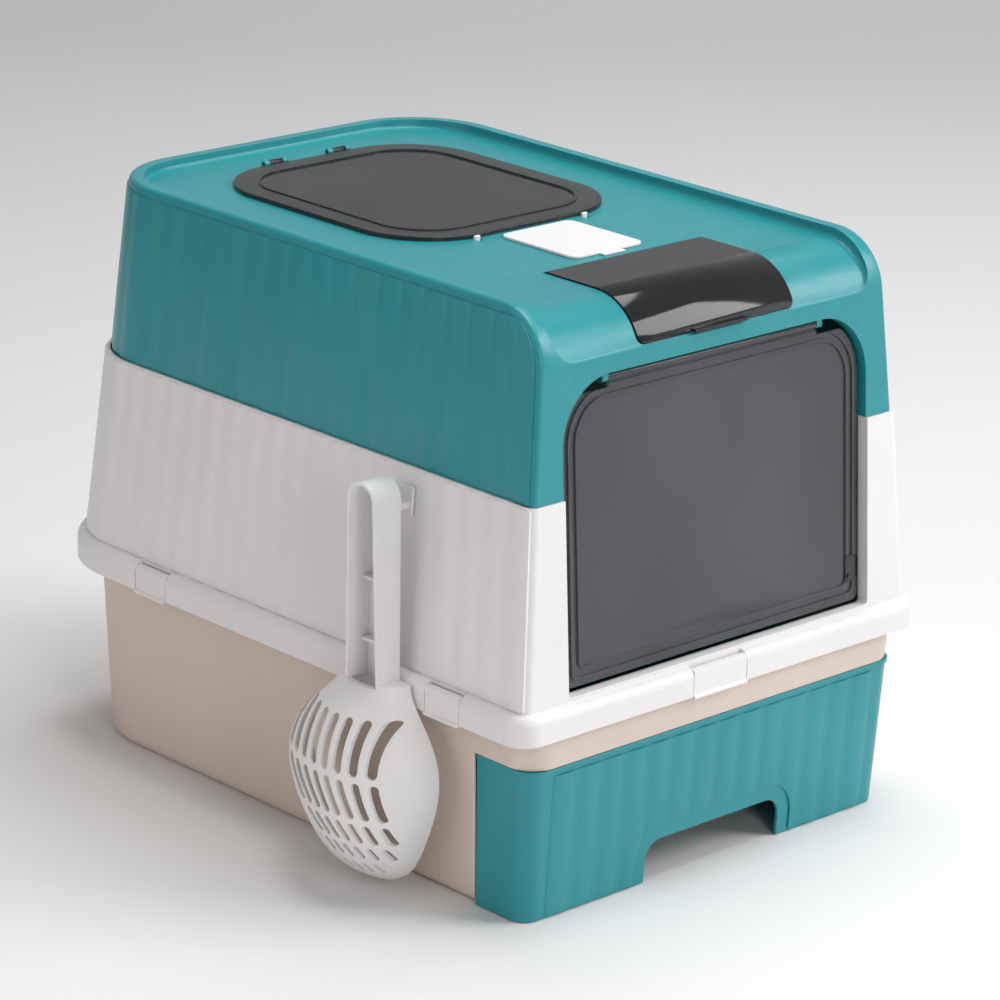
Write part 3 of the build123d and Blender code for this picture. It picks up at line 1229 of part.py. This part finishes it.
with BuildPart() as front_door:
    extrude(doorway_plan(-DOOR_GAP, DOOR_FACE), amount=-DOOR_THICK)
    # double ridge along the border
    for ridge_inset in (DOOR_RIDGE_OUTER, DOOR_RIDGE_INSET):
        extrude(doorway_plan(-DOOR_GAP - ridge_inset, DOOR_FACE), amount=DOOR_RIDGE)
        extrude(
            doorway_plan(-DOOR_GAP - ridge_inset - DOOR_RIDGE, DOOR_FACE), amount=DOOR_RIDGE,
            mode=Mode.SUBTRACT,
        )
    # clear of the hinge lugs at both ends of the barrel
    door_out = DOOR_FACE + 2 * DOOR_RIDGE
    add(
        door_box(-DOOR_EDGE, DOOR_EDGE, HINGE_UP, HINGE_UP + JAMB_DEPTH, -2 * DOOR_SET_BACK, door_out),
        mode=Mode.SUBTRACT,
    )
    for side_low, side_high in ((-DOOR_EDGE, -DOOR_BARREL_HALF_LENGTH), (DOOR_BARREL_HALF_LENGTH, DOOR_EDGE)):
        add(
            door_box(
                side_low, side_high, HINGE_UP - DOOR_LUG_REACH, HINGE_UP + JAMB_DEPTH,
                -2 * DOOR_SET_BACK, door_out,
            ),
            mode=Mode.SUBTRACT,
        )
    add(pin_along_x(DOOR_BARREL_RADIUS, 2 * DOOR_BARREL_HALF_LENGTH).moved(Location(HINGE_POINT)))
    for side in (-1, 1):
        add(
            pin_along_x(
                DOOR_PIN_RADIUS + PIN_FIT, 2 * (DOOR_PIN_GRIP + FIT), side * DOOR_BARREL_HALF_LENGTH
            ).moved(Location(HINGE_POINT)),
            mode=Mode.SUBTRACT,
        )
    # notch in the right edge for the lock, and a flat round it
    add(
        door_box(
            DOOR_EDGE - LOCK_DEPTH, DOOR_EDGE + DOOR_GAP, LOCK_UP - LOCK_LENGTH / 2 - FIT,
            LOCK_UP + LOCK_LENGTH / 2 + FIT, -2 * DOOR_SET_BACK, door_out,
        ),
        mode=Mode.SUBTRACT,
    )
    add(
        door_box(
            DOOR_EDGE - LOCK_DEPTH - LOCK_LAP - FIT, DOOR_EDGE + DOOR_GAP,
            LOCK_UP - LOCK_LENGTH / 2 - LOCK_LAP - FIT, LOCK_UP + LOCK_LENGTH / 2 + LOCK_LAP + FIT,
            DOOR_FACE, door_out,
        ),
        mode=Mode.SUBTRACT,
    )
save(front_door.part, "front_door")

with BuildPart() as door_pins:
    door_pin_length = DOOR_PIN_GRIP + FIT + DOOR_LUG_WIDTH
    for side in (-1, 1):
        door_pin_at = side * (DOOR_BARREL_HALF_LENGTH - DOOR_PIN_GRIP + door_pin_length / 2)
        add(pin_along_x(DOOR_PIN_RADIUS, door_pin_length, door_pin_at).moved(Location(HINGE_POINT)))
save(door_pins.part, "door_pins")

with BuildPart() as door_lock:
    # button: a block in the door's notch under a front flange with a round grip
    flange_out = -DOOR_SET_BACK + DOOR_THICK / 2 + FIT
    flange_in = -DOOR_SET_BACK - DOOR_THICK / 2 - FIT
    add(
        door_box(
            DOOR_EDGE - LOCK_DEPTH + FIT, DOOR_EDGE + DOOR_GAP - LOCK_TRAVEL - LOCK_JAMB_GAP,
            LOCK_UP - LOCK_LENGTH / 2, LOCK_UP + LOCK_LENGTH / 2,
            -DOOR_SET_BACK - LOCK_THICK / 2, flange_out + LOCK_FLANGE / 2,
        )
    )
    add(
        door_box(
            DOOR_EDGE - LOCK_DEPTH - LOCK_LAP, DOOR_EDGE - LOCK_TRAVEL - FIT,
            LOCK_UP - LOCK_LENGTH / 2 - LOCK_LAP, LOCK_UP + LOCK_LENGTH / 2 + LOCK_LAP,
            flange_out, flange_out + LOCK_FLANGE,
        )
    )
    # bolt: a plate held on the button from inside, which slides behind the jamb
    add(
        door_box(
            DOOR_EDGE - LOCK_DEPTH - LOCK_LAP, DOOR_EDGE + LOCK_REACH,
            LOCK_UP - LOCK_LENGTH / 2 - LOCK_LAP, LOCK_UP + LOCK_LENGTH / 2 + LOCK_LAP,
            flange_in - LOCK_BOLT, flange_in,
        )
    )
    with BuildSketch(DOOR_PLANE.offset(flange_out)):
        with Locations((DOOR_EDGE - LOCK_DEPTH + LOCK_KNOB, LOCK_UP - LOCK_LENGTH / 2 + LOCK_KNOB)):
            Circle(LOCK_KNOB)
    extrude(amount=LOCK_FLANGE + LOCK_KNOB / 2)
save(door_lock.part, "door_lock")
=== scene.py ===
# %% [markdown]
# # A drawer litter box, dressed for its portrait
# The measured model comes in as the frame: every moulding, pin and hinge keeps its place and its mesh.
# What is left to do here is what a product artist does: soften the moulded edges, give every plastic its
# own finish, and light the whole set.

from math import radians

import bpy
import numpy as np
from mathutils import Matrix, Vector

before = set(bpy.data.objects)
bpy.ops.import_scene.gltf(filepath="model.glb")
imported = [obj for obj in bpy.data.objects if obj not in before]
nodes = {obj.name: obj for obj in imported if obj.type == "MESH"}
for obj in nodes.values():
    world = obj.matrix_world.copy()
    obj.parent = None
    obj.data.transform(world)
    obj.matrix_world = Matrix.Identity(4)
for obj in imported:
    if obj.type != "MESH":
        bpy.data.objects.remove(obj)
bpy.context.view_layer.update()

# %% [markdown]
# ## Shader maths as plain Python
# A material is a small sum over the surface: noise times a strength plus a base value. Wrapping a socket
# in a class with operators lets that sum be read as it would be said, and one method makes any other
# node from its type, its settings and what its sockets hold.


# %% A socket that knows arithmetic, and the maker of nodes
class Value:
    """A socket or a number; an operator on it adds the Math node that works it out."""

    def __init__(self, maker, socket):
        self.maker, self.socket = maker, socket

    def _math(self, operation, first, second, clamp=False):
        settings = {"operation": operation, "use_clamp": clamp}
        return self.maker.node("ShaderNodeMath", settings, [first, second])

    def __add__(self, other):
        return self._math("ADD", self, other)

    def __radd__(self, other):
        return self._math("ADD", other, self)

    def __sub__(self, other):
        return self._math("SUBTRACT", self, other)

    def __rsub__(self, other):
        return self._math("SUBTRACT", other, self)

    def __mul__(self, other):
        return self._math("MULTIPLY", self, other)

    def __rmul__(self, other):
        return self._math("MULTIPLY", other, self)

    def clamped(self):
        """The same value kept between 0 and 1."""
        return self._math("ADD", self, 0.0, clamp=True)

    def ramp(self, low, high):
        """0 below low, 1 above high and a smooth step between."""
        inputs = {"Value": self, "From Min": low, "From Max": high}
        return self.maker.node("ShaderNodeMapRange", {"interpolation_type": "SMOOTHSTEP"}, inputs)


# the Mix node has one set of sockets for each kind of value, and these are its colour sockets
MIX_COLOUR_A, MIX_COLOUR_B, MIX_COLOUR_OUT = 6, 7, 2


class Maker:
    """The node tree of one material, and the nodes that are added to it."""

    def __init__(self, name):
        self.material = bpy.data.materials.new(name)
        self.material.use_nodes = True
        self.tree = self.material.node_tree
        self.tree.nodes.clear()
        self.output = self.tree.nodes.new("ShaderNodeOutputMaterial")
        self.place = self.node("ShaderNodeTexCoord", output="Object")

    def node(self, kind, settings=None, inputs=None, output=None):
        """Adds a node, sets it, fills its sockets by name or order and returns one output."""
        made = self.tree.nodes.new(kind)
        for name, setting in (settings or {}).items():
            setattr(made, name, setting)
        pairs = inputs.items() if isinstance(inputs, dict) else enumerate(inputs or [])
        for key, value in pairs:
            socket = made.inputs[key]
            if isinstance(value, Value):
                self.tree.links.new(value.socket, socket)
            else:
                socket.default_value = value
        found = made.outputs[output] if output else next(s for s in made.outputs if s.enabled)
        return Value(self, found)

    def at(self, scale):
        """Object coordinates stretched by scale."""
        return self.node("ShaderNodeMapping", {}, {"Vector": self.place, "Scale": scale})

    def noise(self, scale, detail=2.0, roughness=0.5, vector=None):
        """Cloudy noise from 0 to 1, about one blob per 1 / scale metres."""
        inputs = {"Vector": vector or self.place, "Scale": scale, "Detail": detail, "Roughness": roughness}
        return self.node("ShaderNodeTexNoise", {}, inputs)

    def blend(self, share, first, second):
        """Colour that goes from first to second as share goes from 0 to 1."""
        inputs = {0: share, MIX_COLOUR_A: first, MIX_COLOUR_B: second}
        return self.node("ShaderNodeMix", {"data_type": "RGBA"}, inputs, output=MIX_COLOUR_OUT)

    def bump(self, height, distance):
        """Normal that tilts as if height from 0 to 1 were distance metres."""
        return self.node("ShaderNodeBump", {}, {"Strength": 1.0, "Distance": distance, "Height": height})

    def principled(self, **sockets):
        """Principled shader, with underscores in the socket names for their spaces."""
        inputs = {name.replace("_", " "): value for name, value in sockets.items()}
        return self.node("ShaderNodeBsdfPrincipled", {}, inputs)

    def finish(self, shader):
        """Links the shader to the output and returns the material."""
        self.tree.links.new(shader.socket, self.output.inputs["Surface"])
        return self.material


# %% [markdown]
# ## Moulded plastic
# The shell, the frame, the base and the drawer are injection moulded. Up close such a wall is not one flat
# colour: pigment drifts a little over a hand's width, a fine grain comes off the tool, and thumbs and
# cloths leave the gloss uneven. Each of these is one noise at its own size.


# %% Moulded plastic
CLOUDS = 8.0                     # blobs of pigment in a metre
FLOW = (22.0, 22.0, 5.0)         # flow marks, long in Z
SMEARS = 34.0
GRAIN = 950.0
RIPPLES = 120.0
GRAIN_HEIGHT = 0.00024
GLOSS_SPREAD = 0.18
GRAIN_GLOSS = 0.05


def tint(colour, factor):
    """Colour made lighter or darker, with its alpha."""
    return tuple(min(channel * factor, 1.0) for channel in colour) + (1.0,)


def moulded(name, colour, roughness, drift=0.045):
    """Satin plastic: colour drifts over 120 mm, gloss over 30 mm, and a grain of about 1 mm lies on top."""
    m = Maker(name)
    cloud = m.noise(CLOUDS, 3.0)
    flow = m.noise(1.0, 4.0, 0.6, m.at(FLOW))
    share = (cloud * 0.65 + flow * 0.35).ramp(0.32, 0.68)
    smear = m.noise(SMEARS, 4.0, 0.62)
    fine = m.noise(GRAIN, 2.0, 0.6)
    gloss = roughness + (smear - 0.5) * GLOSS_SPREAD + (fine - 0.5) * GRAIN_GLOSS
    shader = m.principled(
        Base_Color=m.blend(share, tint(colour, 1 - drift), tint(colour, 1 + drift)),
        Roughness=gloss.clamped(),
        Specular_IOR_Level=0.45,
        Normal=m.bump(fine * 0.7 + m.noise(RIPPLES, 2.0) * 0.3, GRAIN_HEIGHT),
    )
    print(f"plastic {name}")
    return m.finish(shader)


TEAL = (0.018, 0.272, 0.302)
WHITE = (0.800, 0.785, 0.790)
# the base is the same white plastic as the frame: this darker, warmer colour is painted shade under the rim
# and painted warm bounce light
BASE_WHITE_PAINTED_SHADE = (0.680, 0.570, 0.490)
SCOOP_WHITE = (0.840, 0.830, 0.830)

teal = moulded("teal_plastic", TEAL, 0.31)
white = moulded("white_plastic", WHITE, 0.38, drift=0.02)
# the base's white with painted shade and painted warm bounce light in its colour
base_white_painted_shade = moulded("base_plastic_painted_shade", BASE_WHITE_PAINTED_SHADE, 0.42, drift=0.025)
scoop_white = moulded("scoop_plastic", SCOOP_WHITE, 0.36, drift=0.02)
dark_plastic = moulded("dark_plastic", (0.022, 0.024, 0.026), 0.22, drift=0.1)

# %% [markdown]
# ## Smoked panels
# The hatch and the door are grey, see-through polystyrene, and the compartment's cover is the same plastic,
# darker and thicker. Alpha lets the dim inside show, a smooth surface keeps the studio's reflections crisp,
# and hair-fine rub marks stop it from looking like a hole. Real glass shading would need the light to go
# through two walls and come back, so alpha is the plainer way.


# %% Smoked plastic
HAZE = 6.0
RUBS = (420.0, 60.0, 60.0)       # rub marks, thin in X
SPECKS = 600.0
WAVES = 9.0
WAVE_HEIGHT = 0.0006


def smoked(name, colour, alpha, roughness):
    """Tinted clear plastic: alpha gives the tint's density, scuffs raise roughness and density a little."""
    m = Maker(name)
    haze = m.noise(HAZE, 3.0, 0.55)
    rubs = m.noise(1.0, 6.0, 0.7, m.at(RUBS)).ramp(0.62, 0.75)
    specks = m.noise(SPECKS, 1.0).ramp(0.72, 0.8)
    shader = m.principled(
        Base_Color=m.blend(haze.ramp(0.3, 0.7), tint(colour, 0.86), tint(colour, 1.14)),
        Roughness=(roughness + haze * 0.05 + rubs * 0.10 + specks * 0.08).clamped(),
        Alpha=(alpha + (haze - 0.5) * 0.05 + rubs * 0.02).clamped(),
        Specular_IOR_Level=0.32,
        Coat_Weight=0.10,
        Coat_Roughness=0.04,
        Normal=m.bump(m.noise(WAVES, 1.0), WAVE_HEIGHT),
    )
    print(f"smoked plastic {name}")
    return m.finish(shader)


smoke = smoked("smoked_plastic", (0.088, 0.092, 0.100), 0.72, 0.12)
# the hatch is the door's smoked plastic; this darker, denser copy is painted shade that holds back the top
# light falling on it
hatch_smoke_painted_shade = smoked("hatch_plastic_painted_shade", (0.024, 0.027, 0.028), 0.76, 0.14)
dark_smoke = smoked("dark_smoked_plastic", (0.018, 0.020, 0.021), 0.94, 0.06)


# %% [markdown]
# ## Steel pins and charcoal felt
# The clips turn on drawn wire, with fine lines along X, and the cartridge in the compartment is a felt block.
# Stretching the noise a lot across one axis and little along the other turns its blobs into lines.


# %% Steel and felt
DRAWN_LINES = (80.0, 4000.0, 4000.0)
FIBRES = (900.0, 900.0, 900.0)
FIBRE_HEIGHT = 0.0008
STEEL = (0.58, 0.58, 0.595)
CHARCOAL = (0.036, 0.036, 0.037)


def drawn_steel():
    """Bright steel with fine lines along X."""
    m = Maker("drawn_steel")
    lines = m.noise(1.0, 3.0, 0.6, m.at(DRAWN_LINES))
    return m.finish(
        m.principled(
            Base_Color=m.blend(lines, tint(STEEL, 0.87), tint(STEEL, 1.13)),
            Metallic=1.0, Roughness=0.22 + lines * 0.18,
        )
    )


def felt():
    """Black fibre felt: matted noise that also lifts the surface."""
    m = Maker("charcoal_felt")
    fibres = m.noise(1.0, 6.0, 0.75, m.at(FIBRES))
    return m.finish(
        m.principled(
            Base_Color=m.blend(fibres, tint(CHARCOAL, 0.34), tint(CHARCOAL, 1.66)),
            Roughness=0.95, Normal=m.bump(fibres, FIBRE_HEIGHT),
        )
    )


steel = drawn_steel()
charcoal = felt()
print("steel and felt")

# %% [markdown]
# ## Dressing the mouldings
# Every node takes the finish that its piece has. A moulding never has a knife edge, so each gets a small
# rounded bevel: its loose triangles are first welded, and only corners sharper than 35 degrees are cut.

# %% Finishes and rounded edges
FINISH = {
    # base_shell takes the white plastic darkened and warmed as painted shade and warm bounce light
    "base_shell": base_white_painted_shade, "litter_drawer": teal, "middle_frame": white, "hood_shell": teal,
    # hatch_lid takes the darker copy of the door's plastic, painted shade against the top light
    "scoop": scoop_white, "scoop_hook": white, "hatch_lid": hatch_smoke_painted_shade, "front_door": smoke,
    "bin_cover": dark_smoke, "door_lock": dark_plastic, "latch_plate": white, "latch_bar": white,
    "deodoriser_bin": white, "charcoal_cartridge": charcoal,
    "hatch_pins": dark_plastic, "cover_pins": dark_plastic, "door_pins": dark_plastic, "clip_pins": steel,
}
EDGE = {
    "hood_shell": 0.0011, "middle_frame": 0.0009, "base_shell": 0.0009, "litter_drawer": 0.0010,
    "front_door": 0.0007, "hatch_lid": 0.0006,
}
SMALL_EDGE = 0.0004
WELD_WITHIN = 0.00001
SHARP_CORNER = 35.0

for name, node in nodes.items():
    finish = FINISH.get(name, white)
    node.data.materials.clear()
    node.data.materials.append(finish)
    weld = node.modifiers.new("weld", "WELD")
    weld.merge_threshold = WELD_WITHIN
    if finish not in (steel, charcoal):
        bevel = node.modifiers.new("moulded_edges", "BEVEL")
        bevel.width = EDGE.get(name, SMALL_EDGE)
        bevel.segments = 3
        bevel.limit_method = "ANGLE"
        bevel.angle_limit = radians(SHARP_CORNER)
print(f"{len(nodes)} nodes dressed")

# %% [markdown]
# ## The studio
# A pale floor that runs up into a pale backdrop, one broad key light from the right and front, a warm fill
# and a rake from the left that brings out the flutes, a top light that draws the bend of the roof, and a low
# window that the curved cover mirrors.


# %% Floor and backdrop
def sweep_sheet(name, half_width, front, back, radius, height, steps=24):
    """Floor, quarter round and wall as one sheet: a profile in (y, z) carried along x."""
    turn = np.linspace(0.0, np.pi / 2, steps)
    profile_y = np.concatenate([[-front], back - radius + radius * np.sin(turn), [back]])
    profile_z = np.concatenate([[0.0], radius - radius * np.cos(turn), [height]])
    across = np.array([-half_width, half_width])
    grid_x, grid_y = np.meshgrid(across, profile_y)
    _, grid_z = np.meshgrid(across, profile_z)
    points = np.stack([grid_x, grid_y, grid_z], axis=-1).reshape(-1, 3)
    row = np.arange(len(profile_y) - 1)
    faces = np.stack([2 * row, 2 * row + 1, 2 * row + 3, 2 * row + 2], axis=1)
    mesh = bpy.data.meshes.new(name)
    mesh.from_pydata(points.tolist(), [], faces.tolist())
    mesh.polygons.foreach_set("use_smooth", [True] * len(faces))
    sheet = bpy.data.objects.new(name, mesh)
    bpy.context.scene.collection.objects.link(sheet)
    return sheet


TURN_TO_CAMERA = -43.8           # degrees, so that the backdrop stands square behind the object

floor = sweep_sheet("studio_floor", half_width=9.0, front=6.0, back=4.5, radius=2.0, height=6.0)
floor_maker = Maker("studio_floor")
floor_clouds = floor_maker.noise(1.3, 3.0)
floor.data.materials.append(
    floor_maker.finish(
        floor_maker.principled(
            Base_Color=floor_maker.blend(floor_clouds, (0.80, 0.80, 0.80, 1.0), (0.83, 0.83, 0.83, 1.0)),
            Roughness=0.6 + (floor_clouds - 0.5) * 0.1,
        )
    )
)
floor.rotation_euler.z = radians(TURN_TO_CAMERA)
print("floor")


# %% Lights
def softbox(name, place, aim, size, watts, colour=(1.0, 1.0, 1.0)):
    """Rectangular lamp of a width and a height, at place, that faces aim."""
    lamp = bpy.data.lights.new(name, "AREA")
    lamp.shape = "RECTANGLE"
    lamp.size, lamp.size_y = size
    lamp.energy = watts
    lamp.color = colour
    lit = bpy.data.objects.new(name, lamp)
    bpy.context.scene.collection.objects.link(lit)
    lit.location = place
    lit.rotation_euler = (Vector(aim) - Vector(place)).to_track_quat("-Z", "Y").to_euler()
    return lit


MIDDLE = (0.0, 0.0, 0.22)
LEFT_WALL = (-0.2, 0.1, 0.25)
DOOR_HEAD = (0.0, -0.2, 0.4)
WARM = (1.0, 0.94, 0.92)
WARMER = (1.0, 0.90, 0.88)

softbox("key", (2.1, -2.3, 2.2), MIDDLE, (1.6, 1.6), 62)
softbox("top", (0.5, -0.2, 2.8), MIDDLE, (2.0, 1.6), 54)
softbox("left_rake", (-1.2, -2.9, 1.3), LEFT_WALL, (0.9, 1.6), 19, WARM)
softbox("left_fill", (-2.9, 0.4, 1.3), MIDDLE, (2.4, 1.8), 16, WARMER)
softbox("window", (2.5, -2.6, 0.75), DOOR_HEAD, (1.8, 1.1), 8)
print("lamps")

SKY = (0.86, 0.88, 0.90, 1.0)
SKY_STRENGTH = 0.26

world = bpy.data.worlds.new("studio")
world.use_nodes = True
bpy.context.scene.world = world
background = world.node_tree.nodes["Background"]
background.inputs["Color"].default_value = SKY
background.inputs["Strength"].default_value = SKY_STRENGTH

# %% [markdown]
# ## The camera
# It stands where the photograph was taken from: front left, a little above the roof, with a long lens. Its
# three directions are unit vectors, and the lens is given in pixels of a picture 1000 pixels wide, because
# that is how a camera is solved from the edges of a box.

# %% Camera
RIGHT = Vector((0.72788, -0.68510, 0.02882))
UP = Vector((0.19835, 0.25059, 0.94756))
FORWARD = Vector((0.65639, 0.68399, -0.31829))
STANDS_AT = Vector((-2.1247, -2.2477, 1.2470))
SENSOR = 36.0
FOCAL_PIXELS = 4322.67
PICTURE = 1000

camera_data = bpy.data.cameras.new("portrait")
camera_data.sensor_width = SENSOR
camera_data.lens = SENSOR * FOCAL_PIXELS / PICTURE
camera_data.clip_end = 50.0
camera = bpy.data.objects.new("portrait", camera_data)
bpy.context.scene.collection.objects.link(camera)
turn = Matrix((RIGHT, UP, -FORWARD)).transposed().to_4x4()
camera.matrix_world = Matrix.Translation(STANDS_AT) @ turn
bpy.context.scene.camera = camera
bpy.context.scene.view_settings.view_transform = "Standard"
print("camera lens", round(camera_data.lens, 1))
